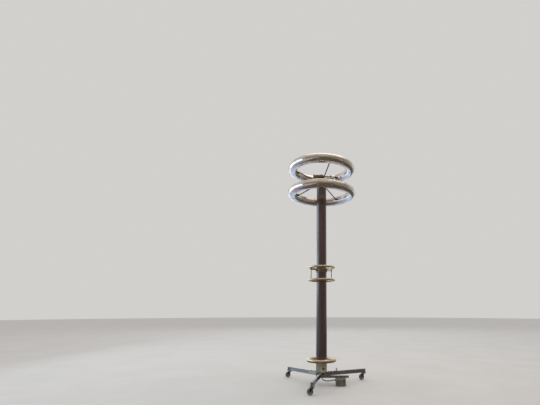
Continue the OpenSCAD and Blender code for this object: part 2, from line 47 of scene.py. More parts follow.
TURN = 2 * math.pi
UP = Vector((0, 0, 1))
DOWN = Vector((0, 0, -1))
FRONT = Vector((0, -1, 0))
COLUMN = Matrix.Identity(4)

# Places in the CAD frame that the dressing follows, in metres, and in degrees from +X
LEGS = {"right": 25.5, "left": 135.5, "front": 260.5}
LEG_UNDER = 0.16
LEG_TOP = 0.24
LEG_HALF = 0.023
HUB_FLAT = 0.104
HUB_PLATE_R = 0.136
ROOT_REACH = 0.37
CASTOR_REACH = 1.1
CASTOR_PLATE_UNDER = 0.148
TRAIL = 0.04
AXLE_Z = 0.0625
PEDESTAL_R = 0.1225
PEDESTAL_TOP = 0.45
SOCKET_ANGLE = 287
SOCKET_Z = 0.33
SOCKET_FACE_R = 0.1525
SOCKET_DEPTH = 0.025
JOINT_Z = 2.52
JOINT_ARM_Z = 2.529
JOINT_ARM_ANGLES = (35, 215)
FOOT_ARM_Z = 0.48
FOOT_ARM_ANGLES = (35, 125, 215, 305)
FLANGE_R = 0.143
COLLAR_R = 0.135
HEAD_Z = 4.72
# Height of each flange's outer face, and the way in which its collar points
FLANGES = ((PEDESTAL_TOP, 1), (JOINT_Z, -1), (JOINT_Z, 1), (HEAD_Z, -1))
# Direction of the first of eight bolts or screws on a flange
FLANGE_FIRST = 12.5
# Number of bends of a ring, and direction of its first weld
TOROID_WELDS = (16, 242)
RING_WELDS = (8, 57)
JOINT_RING_R = 0.301
# Name, centre line radius, tube radius and height
TOROIDS = (
    ("upper", 0.755, 0.117, 5.165),
    ("lower", 0.755, 0.117, 4.5),
)
GRADING_RINGS = (
    ("joint_upper", JOINT_RING_R, 0.029, 2.596),
    ("joint_lower", JOINT_RING_R, 0.029, 2.29),
    ("foot", 0.3, 0.038, 0.497),
)
SPOKE_ANGLES = (50, 170, 290)
# Inner and outer end of a spoke's axis, as distance from the column's axis and height
SPOKE_ROWS = (((0.065, 4.817), (0.6, 5.133)), ((0.065, 4.773), (0.6, 4.5)))
BOSS_LENGTH = 0.048
BARREL_Z = 0.5 * (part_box("terminal_barrel")[0].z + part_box("terminal_barrel")[1].z)
EYE_X = 0.245
BOX_ARM_Y = -0.207
# How far the facets of a CAD tube stay inside its true circle
FACET_GAP = 0.0001


# Placing


def around(count, first=0.0):
    """Equal steps of a full turn, in degrees."""
    return [first + 360 * k / count for k in range(count)]


def polar(radius, degrees, z=0.0):
    """Point at a distance from the column's axis, in a direction counted from +X."""
    a = math.radians(degrees)
    return Vector((radius * math.cos(a), radius * math.sin(a), z))


def aim(point, direction, roll=0.0):
    """Matrix that puts a piece's origin at point and its Z axis along direction."""
    turn = Vector(direction).to_track_quat("Z", "Y").to_matrix().to_4x4()
    return Matrix.Translation(point) @ turn @ Matrix.Rotation(math.radians(roll), 4, "Z")


def on_leg(degrees, along, across, z):
    """Point on a leg: distance from the axis, distance to its left, and height."""
    return polar(along, degrees, z) + polar(across, degrees + 90)


def castor_pivot(leg):
    return polar(CASTOR_REACH, LEGS[leg])


def castor_axle(leg):
    return castor_pivot(leg) + Vector((-TRAIL, 0, AXLE_Z))


def each_leg(stem):
    return [f"{stem}_{leg}" for leg in LEGS]


# Meshes


def loft(bm, rings, closed=False):
    """Skin over rings of points that all have the same count, with capped ends if it isn't closed."""
    rows = [[bm.verts.new(p) for p in ring] for ring in rings]
    count = len(rows[0])
    pairs = list(zip(rows, rows[1:]))
    if closed:
        pairs.append((rows[-1], rows[0]))
    for a, b in pairs:
        for k in range(count):
            n = (k + 1) % count
            bm.faces.new((a[k], a[n], b[n], b[k]))
    if not closed:
        bm.faces.new(rows[0][::-1])
        bm.faces.new(rows[-1])


def unit_circle(steps):
    """Cosine and sine at equal steps of a full turn."""
    return [(math.cos(TURN * k / steps), math.sin(TURN * k / steps)) for k in range(steps)]


def turned(bm, profile, place, steps):
    """Turned solid about place's Z axis, from pairs of radius and height, capped flat."""
    loft(bm, [[place @ Vector((r * c, r * s, z)) for c, s in unit_circle(steps)] for r, z in profile])


def turned_ring(bm, profile, place, steps=48):
    """Turned ring about place's Z axis, from a closed outline of radius and height."""
    rings = [[place @ Vector((r * c, r * s, z)) for r, z in profile] for c, s in unit_circle(steps)]
    loft(bm, rings, closed=True)


def path_frames(points, closed):
    """Two cross directions at each point of a path, carried along without twist."""
    count = len(points)
    frames = []
    side = None
    for i in range(count):
        before = points[i - 1] if closed or i else points[0]
        after = points[(i + 1) % count] if closed or i < count - 1 else points[-1]
        heading = (after - before).normalized()
        if side is None:
            side = heading.orthogonal()
        side = (side - heading * side.dot(heading)).normalized()
        frames.append((side, heading.cross(side)))
    return frames


def swept(bm, points, radius, sides, closed=False):
    """Round rod along a path. The radius is one number or a list with one for each point."""
    radii = radius if isinstance(radius, list) else [radius] * len(points)
    rings = []
    for p, r, (u, v) in zip(points, radii, path_frames(points, closed)):
        rings.append([p + r * (u * c + v * s) for c, s in unit_circle(sides)])
    loft(bm, rings, closed)


def weld_bead(bm, points, radius, closed=False):
    """Rod with a rippled skin, sunk half way into the corner that it fills."""
    ripple = 0.004
    travel = 0.0
    radii = []
    for i, p in enumerate(points):
        travel += (p - points[i - 1]).length if i else 0.0
        radii.append(radius * (0.86 + 0.14 * math.cos(TURN * travel / ripple)))
    swept(bm, points, radii, 8, closed)


def line(a, b):
    """Points along a straight run, close enough together for a weld's ripples."""
    step = 0.0012
    count = max(2, int((b - a).length / step))
    return [a.lerp(b, k / count) for k in range(count + 1)]


def circle(radius, z):
    """Points round the column's axis, close enough together for a weld's ripples."""
    step = 0.0014
    return [polar(radius, degrees, z) for degrees in around(int(TURN * radius / step))]


def bevelled_block(bm, size, place, edge=0.0012):
    """Block with its base on place's XY plane and all its edges broken."""
    made = bmesh.ops.create_cube(bm, size=1)
    scale = Matrix.Diagonal((*size, 1))
    lift = Matrix.Translation((0, 0, size[2] / 2))
    bmesh.ops.transform(bm, matrix=place @ lift @ scale, verts=made["verts"])
    edges = list(dict.fromkeys(e for v in made["verts"] for e in v.link_edges))
    bmesh.ops.bevel(bm, geom=edges, offset=edge, segments=2, affect="EDGES", profile=0.6)


def washer(bm, place, radius, thick):
    edge = thick * 0.25
    flat = radius - edge
    turned(bm, [(flat, 0), (radius, edge), (radius, thick - edge), (flat, thick)], place, 28)


def hex_head(bm, place, across, height, base=0.0):
    """Six-sided head with the chamfer that a turned top leaves on its corners."""
    corner = across / math.sqrt(3)
    profile = ((corner, 0), (corner, height * 0.8), (corner * 0.9, height))
    loft(bm, [[place @ polar(r, degrees, z + base) for degrees in around(6)] for r, z in profile])


def bolt(bm, place, across, stud=0.0):
    """Washer and hexagon head, with a stud's end standing out of it where stud isn't 0."""
    thick = across * 0.16
    height = across * 0.62
    washer(bm, place, across * 0.82, thick)
    hex_head(bm, place, across, height, thick)
    if stud:
        r = across * 0.29
        top = thick + height + stud
        turned(bm, [(r, thick), (r, top - r * 0.3), (r * 0.7, top)], place, 16)


def socket_screw(bm, place, head_r, height):
    """Round head with a six-sided recess in its top."""
    wall = head_r * 0.5
    floor = height * 0.45
    profile = ((head_r, 0), (head_r, height * 0.85), (head_r * 0.88, height), (wall, height), (wall, floor))
    loft(bm, [[place @ polar(r, degrees, z) for degrees in around(24)] for r, z in profile])


def radial_screws(bm, radius, angles, z, head_r, height):
    """Screws that point at the column's axis."""
    for degrees in angles:
        socket_screw(bm, aim(polar(radius, degrees, z), polar(1, degrees)), head_r, height)


def wing_nut(bm, place, size):
    """Turned boss with two rounded wings that lean outward."""
    turned(bm, [(size, 0), (size, size * 0.5), (size * 0.78, size * 1.15)], place, 24)
    sections = ((0.5, 0.35, 0.3), (1.2, 0.9, 0.26), (1.9, 1.7, 0.22), (2.15, 2.2, 0.12))
    flat = Vector((0, 0.24 * size, 0))
    for side in (-1, 1):
        rings = []
        for out, rise, half in sections:
            centre = Vector((side * out * size, 0, rise * size))
            tall = Vector((-side * 0.4, 0, 0.9)) * half * size * 2
            rings.append([place @ (centre + flat * c + tall * s) for c, s in unit_circle(12)])
        loft(bm, rings)


def new_object(name, bm, finish):
    """Turns a mesh under construction into an object of the scene."""
    mesh = bpy.data.meshes.new(name)
    bm.to_mesh(mesh)
    bm.free()
    mesh.materials.append(finish)
    made = bpy.data.objects.new(name, mesh)
    scene.collection.objects.link(made)
    return made


def finish_piece(name, bm, finish, body="stand", smooth=38):
    """Turns a mesh under construction into a named piece that rides on a CAD body."""
    bmesh.ops.recalc_face_normals(bm, faces=bm.faces)
    piece = new_object(name, bm, FINISHES[finish])
    for face in piece.data.polygons:
        face.use_smooth = True
    piece.data.set_sharp_from_angle(angle=math.radians(smooth))
    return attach(piece, body)


# Shader nodes


def plug(tree, node, key, value):
    """Sets one input of a node, or links it to another node's output. A colour is red, green, blue."""
    socket = node.inputs[key]
    if isinstance(value, bpy.types.NodeSocket):
        tree.links.new(value, socket)
    elif socket.type == "RGBA":
        socket.default_value = (*value, 1.0)
    else:
        socket.default_value = value


def wire(tree, node, **sockets):
    """Plugs values or outputs into a node's inputs by name."""
    for key, value in sockets.items():
        plug(tree, node, key.replace("_", " "), value)
    return node


def add(tree, kind, settings=None, **sockets):
    """New node with its settings and its plugged inputs."""
    node = tree.nodes.new("ShaderNode" + kind)
    for key, value in (settings or {}).items():
        setattr(node, key, value)
    return wire(tree, node, **sockets)


def maths(tree, operation, a, b=0.0, c=0.0):
    node = add(tree, "Math", {"operation": operation})
    for index, value in enumerate((a, b, c)):
        plug(tree, node, index, value)
    return node.outputs[0]


def times(tree, a, b):
    return maths(tree, "MULTIPLY", a, b)


def spread(tree, value, low, high):
    """Smooth step from 0 where value is low to 1 where it is high."""
    node = add(tree, "MapRange", {"interpolation_type": "SMOOTHSTEP"})
    for index, item in enumerate((value, low, high)):
        plug(tree, node, index, item)
    return node.outputs[0]


def mixed(tree, factor, a, b):
    """Colour between a and b, which are inputs 6 and 7 of the node."""
    node = add(tree, "Mix", {"data_type": "RGBA"})
    for index, value in ((0, factor), (6, a), (7, b)):
        plug(tree, node, index, value)
    return node.outputs[2]


def noise(tree, vector, scale, detail=3.0, rough=0.55):
    return add(tree, "TexNoise", Vector=vector, Scale=scale, Detail=detail, Roughness=rough).outputs[0]


def place_of(tree):
    return add(tree, "TexCoord").outputs["Object"]


def split(tree, vector):
    return add(tree, "SeparateXYZ", Vector=vector).outputs


def new_group(name, inputs, outputs):
    """Empty shader group with named sockets, its inputs' values and its output node."""
    group = bpy.data.node_groups.new(name, "ShaderNodeTree")
    for in_out, sockets in (("INPUT", inputs), ("OUTPUT", outputs)):
        for label, kind in sockets.items():
            group.interface.new_socket(name=label, in_out=in_out, socket_type="NodeSocket" + kind)
    return group, group.nodes.new("NodeGroupInput").outputs, group.nodes.new("NodeGroupOutput")


def uneven_tone_group():
    """Soft patches between two colours, and the mask that makes them."""
    group, given, out = new_group(
        "uneven_tone",
        {"Light": "Color", "Dark": "Color", "Scale": "Float", "Balance": "Float"},
        {"Color": "Color", "Mask": "Float"},
    )
    blur = 0.16
    patches = noise(group, place_of(group), given["Scale"], 5.0, 0.6)
    low = maths(group, "SUBTRACT", given["Balance"], blur)
    high = maths(group, "ADD", given["Balance"], blur)
    mask = spread(group, patches, low, high)
    wire(group, out, Color=mixed(group, mask, given["Light"], given["Dark"]), Mask=mask)
    return group


def dust_and_top_light_group():
    """Dust on faces that look up, thicker in patches. Given a pale blue tint, the same layer is painted
    window light on the frame's top faces.
    """
    group, given, out = new_group(
        "dust_and_top_light",
        {"Color": "Color", "Dust": "Color", "Amount": "Float"},
        {"Color": "Color", "Mask": "Float"},
    )
    flat = spread(group, split(group, add(group, "NewGeometry").outputs["Normal"])["Z"], 0.35, 0.95)
    patches = spread(group, noise(group, place_of(group), 14.0, 6.0, 0.65), 0.3, 0.75)
    mask = times(group, times(group, flat, patches), given["Amount"])
    wire(group, out, Color=mixed(group, mask, given["Color"], given["Dust"]), Mask=mask)
    return group


def worn_edges_group():
    """Edges that have lost their finish, found by how far the rounded normal leans from the true one."""
    group, given, out = new_group(
        "worn_edges", {"Radius": "Float", "Amount": "Float", "Scale": "Float"}, {"Mask": "Float"})
    lean = add(group, "VectorMath", {"operation": "DOT_PRODUCT"})
    plug(group, lean, 0, add(group, "Bevel", {"samples": 4}, Radius=given["Radius"]).outputs[0])
    plug(group, lean, 1, add(group, "NewGeometry").outputs["Normal"])
    edge = spread(group, lean.outputs["Value"], 0.995, 0.86)
    broken = spread(group, noise(group, place_of(group), given["Scale"], 4.0), 0.38, 0.62)
    wire(group, out, Mask=times(group, times(group, edge, broken), given["Amount"]))
    return group


def weld_heat_group():
    """Tinted bands beside the welds of a ring of equal bends about the column's axis."""
    group, given, out = new_group(
        "weld_heat", {"Pitch": "Float", "First": "Float", "Width": "Float"}, {"Mask": "Float"})
    apart = split(group, place_of(group))
    angle = maths(group, "DEGREES", maths(group, "ARCTAN2", apart["Y"], apart["X"]))
    # Two full turns are added, so that the angle past the first weld is never below 0
    past = maths(group, "ADD", maths(group, "SUBTRACT", angle, given["First"]), 720.0)
    inside = maths(group, "PINGPONG", past, times(group, given["Pitch"], 0.5))
    ragged = times(group, noise(group, place_of(group), 25.0, 3.0), 0.9)
    reach = times(group, given["Width"], maths(group, "ADD", ragged, 0.55))
    wire(group, out, Mask=spread(group, inside, reach, 0.0))
    return group


def panel_waves_group():
    """Long shallow waves that hand polishing leaves, with fine drawn lines, as a height."""
    group, given, out = new_group(
        "panel_waves", {"Long": "Float", "Fine": "Float", "Share": "Float"}, {"Height": "Float"})
    place = place_of(group)
    long_waves = noise(group, place, given["Long"], 2.0, 0.45)
    fine_waves = noise(group, place, given["Fine"], 3.0, 0.5)
    fine_part = times(group, fine_waves, given["Share"])
    wire(group, out, Height=maths(group, "ADD", long_waves, fine_part))
    return group


def softened_edge_group():
    """Normal that rounds an edge by a small radius, with a fine grain on the faces."""
    group, given, out = new_group(
        "softened_edge", {"Radius": "Float", "Grain": "Float", "Depth": "Float"}, {"Normal": "Vector"})
    rounded = add(group, "Bevel", {"samples": 4}, Radius=given["Radius"]).outputs[0]
    grain = noise(group, place_of(group), given["Grain"], 2.0)
    bump = add(group, "Bump", Strength=0.6, Distance=given["Depth"], Height=grain, Normal=rounded)
    wire(group, out, Normal=bump.outputs[0])
    return group


GROUPS = {
    "tone": uneven_tone_group(),
    "dust_and_light": dust_and_top_light_group(),
    "wear": worn_edges_group(),
    "heat": weld_heat_group(),
    "waves": panel_waves_group(),
    "soft": softened_edge_group(),
}


def use(tree, key, **sockets):
    """Places a shared group in a material with its own values."""
    return add(tree, "Group", {"node_tree": GROUPS[key]}, **sockets)


# Finishes


def new_finish(name, **sockets):
    """Material with one Principled shader, whose plain values are set on its own sockets."""
    finish = bpy.data.materials.new(name)
    finish.use_nodes = True
    tree = finish.node_tree
    return finish, tree, wire(tree, tree.nodes["Principled BSDF"], **sockets)


def polished_aluminium(name, light, dark, rough, wave, bends, first, heat_width):
    """Hand-polished bends: wavy reflections, dull patches and a brown tint beside each weld."""
    finish, tree, shader = new_finish(name, Metallic=1.0)
    tone = use(tree, "tone", Light=light, Dark=dark, Scale=4.0, Balance=0.56)
    heat = use(tree, "heat", Pitch=360 / bends, First=first, Width=heat_width).outputs[0]
    tint = mixed(tree, times(tree, heat, 0.3), tone.outputs[0], (0.4, 0.33, 0.26))
    dull = maths(tree, "MULTIPLY_ADD", tone.outputs["Mask"], 0.1, rough)
    roughness = maths(tree, "MULTIPLY_ADD", heat, 0.16, dull)
    waves = use(tree, "waves", Long=6.0, Fine=70.0, Share=0.06)
    bump = add(tree, "Bump", Strength=1.0, Distance=wave, Height=waves.outputs[0])
    wire(tree, shader, Base_Color=tint, Roughness=roughness, Normal=bump.outputs[0])
    return finish


def varnished_tube():
    """Resin-bonded paper tube under thick dark varnish, with its winding and long runs showing."""
    finish, tree, shader = new_finish("brown_varnish", Coat_Weight=1.0, Coat_Roughness=0.2, Coat_IOR=1.7)
    place = place_of(tree)
    stretched = add(tree, "Mapping", Vector=place, Scale=(16.0, 16.0, 0.5)).outputs[0]
    runs = spread(tree, noise(tree, stretched, 2.0, 4.0, 0.6), 0.5, 0.74)
    wound = add(tree, "Mapping", Vector=place, Scale=(1.0, 1.0, 55.0)).outputs[0]
    winding = noise(tree, wound, 1.0, 3.0, 0.6)
    deep = mixed(tree, winding, (0.034, 0.014, 0.015), (0.062, 0.027, 0.026))
    streaked = mixed(tree, times(tree, runs, 0.55), deep, (0.13, 0.075, 0.055))
    roughness = maths(tree, "MULTIPLY_ADD", winding, 0.2, 0.28)
    height = maths(tree, "MULTIPLY_ADD", runs, 0.35, winding)
    bump = add(tree, "Bump", Strength=0.35, Distance=0.0006, Height=height)
    wire(tree, shader, Base_Color=streaked, Roughness=roughness, Normal=bump.outputs[0])
    return finish


def worn_paint(name, light, dark, bare, rough=0.42, dust_and_light=0.35, coat=0.25, dust_and_light_tint=(0.34, 0.32, 0.29)):
    """Workshop paint: uneven tone, dust on top faces, with painted window light there in the frame paints,
    and bare metal at rubbed edges.
    """
    finish, tree, shader = new_finish(name, Coat_Weight=coat, Coat_Roughness=0.22)
    tone = use(tree, "tone", Light=light, Dark=dark, Scale=9.0, Balance=0.5)
    # Top-face layer: dust, and in the frame paints also painted window light
    dusted_and_lit = use(tree, "dust_and_light", Color=tone.outputs[0], Dust=dust_and_light_tint, Amount=dust_and_light)
    wear = use(tree, "wear", Radius=0.003, Amount=0.75, Scale=70.0).outputs[0]
    colour = mixed(tree, wear, dusted_and_lit.outputs[0], bare)
    roughness = maths(tree, "MULTIPLY_ADD", dusted_and_lit.outputs["Mask"], 0.35, rough)
    soft = use(tree, "soft", Radius=0.0015, Grain=320.0, Depth=0.0002).outputs[0]
    wire(tree, shader, Base_Color=colour, Metallic=times(tree, wear, 0.8), Roughness=roughness, Normal=soft)
    return finish


def plain_metal(name, light, dark, rough, grain=500.0):
    """Bare or plated steel and cast metal with stains and softened edges."""
    finish, tree, shader = new_finish(name, Metallic=1.0)
    tone = use(tree, "tone", Light=light, Dark=dark, Scale=22.0, Balance=0.52)
    roughness = maths(tree, "MULTIPLY_ADD", tone.outputs["Mask"], 0.18, rough)
    soft = use(tree, "soft", Radius=0.0012, Grain=grain, Depth=0.00015).outputs[0]
    wire(tree, shader, Base_Color=tone.outputs[0], Roughness=roughness, Normal=soft)
    return finish


def soft_solid(name, light, dark, rough):
    """Rubber and plastic: dull, scuffed, with a fine moulded grain."""
    finish, tree, shader = new_finish(name, Specular_IOR_Level=0.4)
    tone = use(tree, "tone", Light=light, Dark=dark, Scale=35.0, Balance=0.5)
    dusted_and_lit = use(tree, "dust_and_light", Color=tone.outputs[0], Dust=(0.3, 0.28, 0.25), Amount=0.4)
    roughness = maths(tree, "MULTIPLY_ADD", tone.outputs["Mask"], 0.15, rough)
    soft = use(tree, "soft", Radius=0.001, Grain=250.0, Depth=0.0003).outputs[0]
    wire(tree, shader, Base_Color=dusted_and_lit.outputs[0], Roughness=roughness, Normal=soft)
    return finish


def make_finishes():
    """Finishes by key. The colours are a light tone, a dark tone and, for paint, the bare metal."""
    dark_paint = ((0.14, 0.13, 0.118), (0.095, 0.088, 0.08), (0.42, 0.4, 0.37))
    return {
        "toroid": polished_aluminium(
            "toroid_polish", (0.80, 0.76, 0.74), (0.64, 0.59, 0.56), 0.13, 0.005, *TOROID_WELDS, 1.5),
        "ring": polished_aluminium(
            "ring_satin", (0.88, 0.73, 0.54), (0.70, 0.57, 0.41), 0.3, 0.001, *RING_WELDS, 2.6),
        "foot_ring": polished_aluminium(
            "foot_ring_satin", (0.84, 0.72, 0.54), (0.67, 0.56, 0.42), 0.28, 0.001, *RING_WELDS, 2.6),
        "bead": plain_metal("weld_bead", (0.86, 0.83, 0.79), (0.6, 0.55, 0.5), 0.42),
        "tube": varnished_tube(),
        "joint_cast": plain_metal("joint_casting", (0.31, 0.3, 0.22), (0.25, 0.24, 0.17), 0.45, 260.0),
        "cast": plain_metal("grey_casting", (0.5, 0.49, 0.45), (0.34, 0.33, 0.29), 0.4, 260.0),
        "pedestal": worn_paint(
            "pedestal_paint", (0.33, 0.3, 0.235), (0.25, 0.225, 0.17), (0.5, 0.48, 0.44)),
        "plate": worn_paint(
            "connector_paint", (0.49, 0.44, 0.29), (0.39, 0.35, 0.23), (0.55, 0.5, 0.38)),
        # Frame: its pale blue top layer is dust and painted window light on top faces
        "frame": worn_paint("frame_paint", *dark_paint, 0.36, 1.0, 0.5, (0.54, 0.57, 0.61)),
        # Front leg: the frame's dark paint with a thick pale blue top layer, dust and painted window light on
        # its top faces
        "front": worn_paint("front_leg_top_lit_paint", *dark_paint, 0.36, 1.8, 0.5, (0.8, 0.84, 0.92)),
        # Left leg: a paler blue copy of the frame's dark paint, painted window light from the left on its
        # faces and top
        "left": worn_paint(
            "left_leg_window_lit_paint", (0.43, 0.48, 0.52), (0.34, 0.385, 0.425), (0.5, 0.51, 0.52),
            0.36, 0.6, 0.5, (0.55, 0.57, 0.6)),
        "black": worn_paint(
            "black_enamel", (0.028, 0.026, 0.025), (0.016, 0.015, 0.015), (0.3, 0.29, 0.27), 0.36),
        "bronze": worn_paint(
            "brown_enamel", (0.06, 0.042, 0.034), (0.036, 0.026, 0.021), (0.33, 0.28, 0.22), 0.34),
        "bakelite": worn_paint(
            "barrel_lacquer", (0.2, 0.115, 0.058), (0.125, 0.07, 0.036), (0.43, 0.34, 0.23),
            0.28, 0.3, 0.7),
        "zinc": plain_metal("zinc_plate", (0.66, 0.66, 0.63), (0.5, 0.49, 0.45), 0.32),
        "steel": plain_metal("dark_steel", (0.3, 0.28, 0.26), (0.17, 0.15, 0.135), 0.36),
        "contact": plain_metal("contact_brass", (0.72, 0.5, 0.22), (0.5, 0.33, 0.14), 0.28),
        "box": worn_paint("box_paint", (0.175, 0.168, 0.135), (0.12, 0.115, 0.09), (0.5, 0.47, 0.4)),
        "lid": worn_paint("lid_paint", (0.25, 0.24, 0.195), (0.18, 0.172, 0.14), (0.55, 0.52, 0.44)),
        "rubber": soft_solid("black_rubber", (0.03, 0.029, 0.028), (0.018, 0.018, 0.018), 0.6),
        "nylon": soft_solid("black_nylon", (0.036, 0.036, 0.037), (0.024, 0.024, 0.025), 0.42),
        "wheel": soft_solid("wheel_core", (0.34, 0.32, 0.29), (0.24, 0.225, 0.2), 0.45),
        "tyre": soft_solid("grey_tyre", (0.13, 0.12, 0.108), (0.08, 0.073, 0.067), 0.7),
    }


FINISHES = make_finishes()


def dress_cad_nodes():
    """Gives every CAD node its finish."""
    dress = {
        "toroid": ("upper_toroid", "lower_toroid"),
        "ring": ("joint_ring_upper", "joint_ring_lower"),
        "foot_ring": ("foot_ring",),
        "tube": ("lower_insulator", "upper_insulator"),
        "joint_cast": ("joint_flange_lower", "joint_flange_upper"),
        "cast": ("foot_flange", "head_flange"),
        "pedestal": ("pedestal",),
        "plate": ("connector_block",),
        "frame": ("hub_block", "hub_plate", "leg_right", "box_arm"),
        "front": ("leg_front",),
        "left": ("leg_left",),
        "black": (
            *each_leg("castor_fork"), "foot_ring_arms", "joint_ring_arms", "lower_spokes", "upper_spokes"),
        "bronze": ("spider_hub",),
        "bakelite": ("terminal_barrel",),
        "zinc": (*each_leg("castor_plate"), "box_straps"),
        "steel": ("terminal_rod", "earth_post"),
        "box": ("measuring_box",),
        "lid": ("box_lid",),
        "rubber": ("spoke_feet", "signal_lead"),
        "nylon": ("signal_glands",),
        "wheel": each_leg("castor_wheel"),
        "tyre": each_leg("castor_tyre"),
    }
    for key, names in dress.items():
        for name in names:
            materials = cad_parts[name].data.materials
            materials.clear()
            materials.append(FINISHES[key])


# Head


def ring_beads(name, ring, welds, width, height):
    """Rippled bead round a ring's tube at every joint between two bends, ground flush at the very top."""
    ring_r, tube_r, z = ring
    facet = 0.006
    facets_per_ripple = 3
    steps = max(48, int(TURN * tube_r / facet))
    section = ((-1.0, -0.6), (-0.6, 0.7), (0.0, 1.0), (0.6, 0.7), (1.0, -0.6))
    bm = bmesh.new()
    for degrees in welds:
        out = polar(1, degrees)
        along = polar(1, degrees + 90)
        rings = []
        for k in range(steps):
            a = TURN * k / steps
            normal = out * math.cos(a) + Vector((0, 0, math.sin(a)))
            seat = out * ring_r + Vector((0, 0, z)) + normal * tube_r
            crest = height * (0.8 + 0.2 * math.cos(a * steps / facets_per_ripple))
            row = [seat + along * (s * width / 2) + normal * (h * crest) for s, h in section]
            for point in row:
                point.z = min(point.z, z + tube_r - FACET_GAP)
            rings.append(row)
        loft(bm, rings, closed=True)
    finish_piece(name, bm, "bead")


def all_ring_beads():
    for label, *ring in TOROIDS:
        ring_beads(f"toroid_welds_{label}", ring, around(*TOROID_WELDS), 0.009, 0.0016)
    for label, *ring in GRADING_RINGS:
        ring_beads(f"ring_welds_{label}", ring, around(*RING_WELDS), 0.006, 0.001)


def spokes():
    """Inner end, outer end and direction of each spoke's axis, with its angle."""
    for (r_in, z_in), (r_out, z_out) in SPOKE_ROWS:
        for degrees in SPOKE_ANGLES:
            a = polar(r_in, degrees, z_in)
            b = polar(r_out, degrees, z_out)
            yield a, b, (b - a).normalized(), degrees


def spoke_nuts():
    """Lock nuts where the spokes leave their bosses, and where they enter their feet."""
    bm = bmesh.new()
    for a, b, along, _ in spokes():
        root = aim(a + along * BOSS_LENGTH, along, 17)
        washer(bm, root, 0.0155, 0.002)
        hex_head(bm, root, 0.028, 0.011, 0.002)
        tip = aim(b - along * 0.001, -along, 41)
        washer(bm, tip, 0.017, 0.0025)
        hex_head(bm, tip, 0.028, 0.011, 0.0025)
    finish_piece("spoke_lock_nuts", bm, "steel")


def spoke_sleeves():
    """Black insulating sleeve on each spoke, from lock nut to lock nut."""
    bore = 0.0095
    radius = 0.0125
    bm = bmesh.new()
    for a, b, along, _ in spokes():
        start = BOSS_LENGTH + 0.0145
        end = (b - a).length - 0.0155
        outline = [
            (bore, start), (radius - 0.0005, start + 0.0005), (radius, start + 0.004),
            (radius, end - 0.004), (radius - 0.0005, end - 0.0005), (bore, end),
        ]
        turned_ring(bm, outline, aim(a, along), 28)
    finish_piece("spoke_sleeves", bm, "rubber")


def foot_bands():
    """Clamping band round each spoke's rubber foot."""
    outline = [(0.0275, 0), (0.0293, 0.0006), (0.0293, 0.0094), (0.0275, 0.01)]
    bm = bmesh.new()
    for _, b, _, degrees in spokes():
        place = aim(polar(0.608, degrees, b.z), polar(1, degrees))
        turned_ring(bm, outline, place, 40)
        bevelled_block(bm, (0.011, 0.007, 0.010), place @ Matrix.Translation((0.033, 0, 0)))
    finish_piece("foot_clamp_bands", bm, "zinc")


def spider_fittings():
    """Screws round the spider's shoulder and a clamping ring at the foot of its post."""
    bm = bmesh.new()
    for degrees in around(6, 20):
        socket_screw(bm, aim(polar(0.0585, degrees, 4.8852), polar(0.5, degrees, 1)), 0.0075, 0.007)
    clamp = [
        (0.0315, 4.902), (0.0395, 4.9), (0.041, 4.9015), (0.041, 4.9135), (0.0395, 4.915), (0.0315, 4.915),
    ]
    turned_ring(bm, clamp, COLUMN)
    radial_screws(bm, 0.0405, (110, 230, 350), 4.9075, 0.0045, 0.004)
    finish_piece("spider_screws", bm, "steel")


def barrel_fittings():
    """Cover plate with screws in the barrel's dished end, band screws and a clamping ring on its nose."""
    bm = bmesh.new()
    axis = Vector((1, 0, 0))
    cover = aim(Vector((-0.21, 0, BARREL_Z)), -axis)
    turned(bm, [(0.034, -0.001), (0.034, 0.0015), (0.0325, 0.003), (0.008, 0.0035)], cover, 48)
    hex_head(bm, cover, 0.017, 0.0045, 0.003)
    for degrees in around(6, 30):
        socket_screw(bm, aim(cover @ polar(0.0265, degrees, 0.003), -axis), 0.0035, 0.003)
    rim_r = 0.0565
    for c, s in unit_circle(8):
        socket_screw(bm, aim(Vector((-0.2, rim_r * c, BARREL_Z + rim_r * s)), axis), 0.004, 0.004)
    for x in (-0.018, 0.018):
        for side in (-1, 1):
            bolt(bm, aim(Vector((x, side * 0.0572, BARREL_Z)), (0, side, 0), 10), 0.013)
    nose = aim(Vector((0.074, 0, BARREL_Z)), axis)
    clamp = [(0.0125, 0), (0.0195, 0), (0.021, 0.0015), (0.021, 0.0125), (0.0195, 0.014), (0.0125, 0.014)]
    turned_ring(bm, clamp, nose, 40)
    finish_piece("barrel_fittings", bm, "steel")


def eye_bolt():
    """Bolt that stands in the rod's eye, with a nut below and a wing nut above."""
    half_eye = 0.009
    bm = bmesh.new()
    bolt(bm, aim(Vector((EYE_X, 0, BARREL_Z - half_eye)), DOWN), 0.019, 0.006)
    above = aim(Vector((EYE_X, 0, BARREL_Z + half_eye)), UP)
    washer(bm, above, 0.0165, 0.002)
    wing_nut(bm, above @ Matrix.Translation((0, 0, 0.002)), 0.0095)
    turned(bm, [(0.0055, 0), (0.0055, 0.036), (0.0042, 0.0375)], above, 20)
    finish_piece("eye_bolt", bm, "steel")


# Column


def flange_bolts(name, seats, facing, turn, across, stud=0.0):
    """Bolts on a flange, each turned on a little from the one before."""
    bm = bmesh.new()
    for k, seat in enumerate(seats):
        bolt(bm, aim(seat, facing, turn * k), across, stud)
    finish_piece(name, bm, "zinc")


def column_bolts():
    top = [polar(0.119, degrees, HEAD_Z) for degrees in around(6, 20)]
    flange_bolts("head_flange_bolts", top, UP, 7, 0.018, 0.004)
    bottom = [polar(0.1325, degrees, PEDESTAL_TOP) for degrees in around(8, FLANGE_FIRST)]
    flange_bolts("foot_flange_bolts", bottom, DOWN, 11, 0.013)


def collar_screws():
    """Screws that pin each collar to its tube."""
    bm = bmesh.new()
    for z, way in FLANGES:
        radial_screws(bm, COLLAR_R - 0.0006, around(8, FLANGE_FIRST), z + 0.03 * way, 0.0065, 0.005)
    finish_piece("collar_screws", bm, "zinc")


